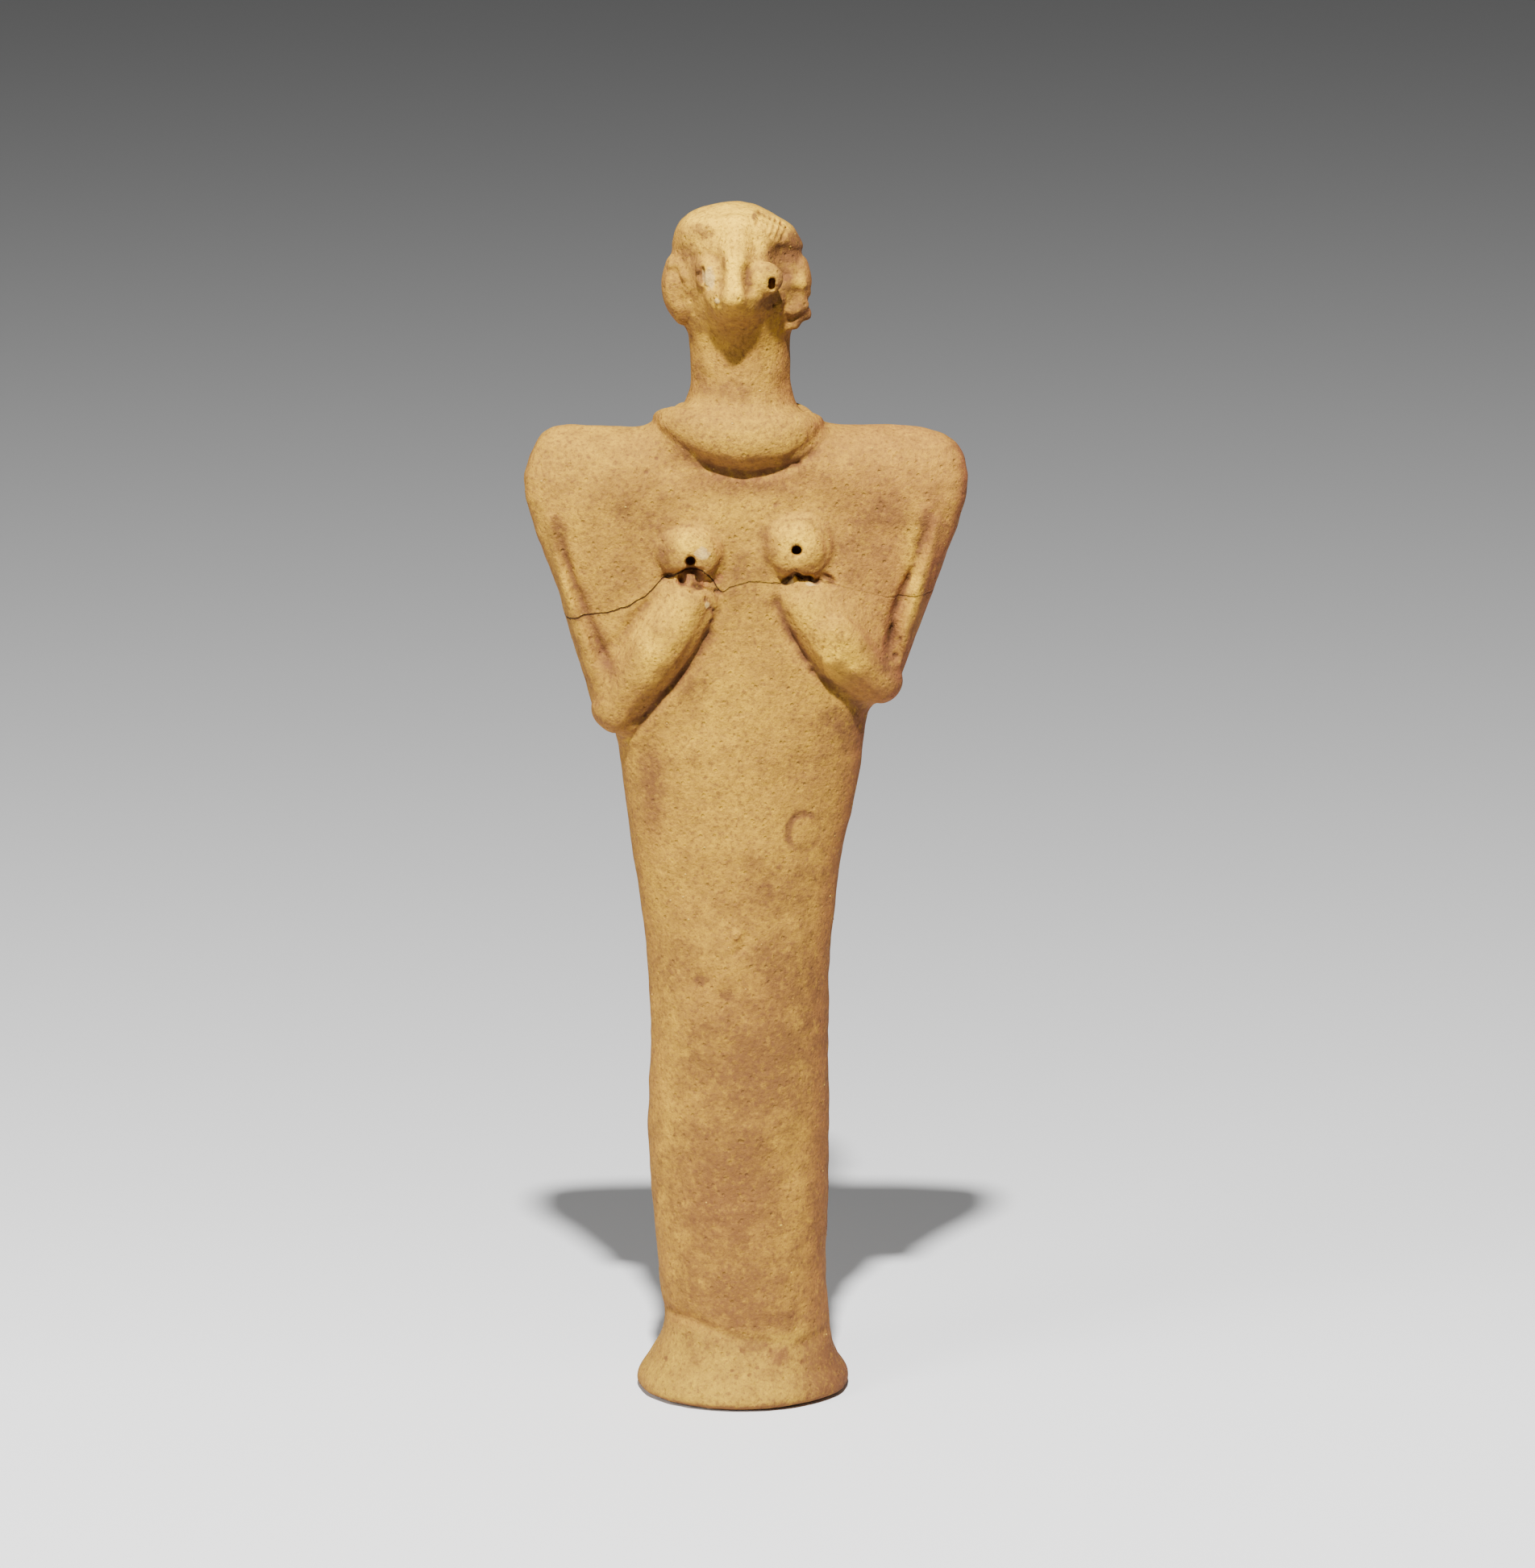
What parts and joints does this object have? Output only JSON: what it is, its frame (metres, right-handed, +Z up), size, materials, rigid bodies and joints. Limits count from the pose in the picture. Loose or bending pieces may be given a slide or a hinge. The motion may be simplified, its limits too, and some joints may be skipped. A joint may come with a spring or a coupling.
{
  "type": "ceramic idol",
  "caption": "Standing hand-modelled clay idol with a beaked face, folded forearms, a collar roll and a flared round foot.",
  "frame": {"origin": "middle of the foot's flat underside, on the surface that the idol stands on", "axes": "+Z up through the head, the face looks along -Y, +X to the right of someone who faces the idol"},
  "size_m": [0.0583, 0.0266, 0.16],
  "materials": {
    "fired_clay": "unglazed buff fired clay, matt, with brown speckled staining"
  },
  "bodies": {
    "root": {"idol": "fired_clay"}
  },
  "joints": []
}
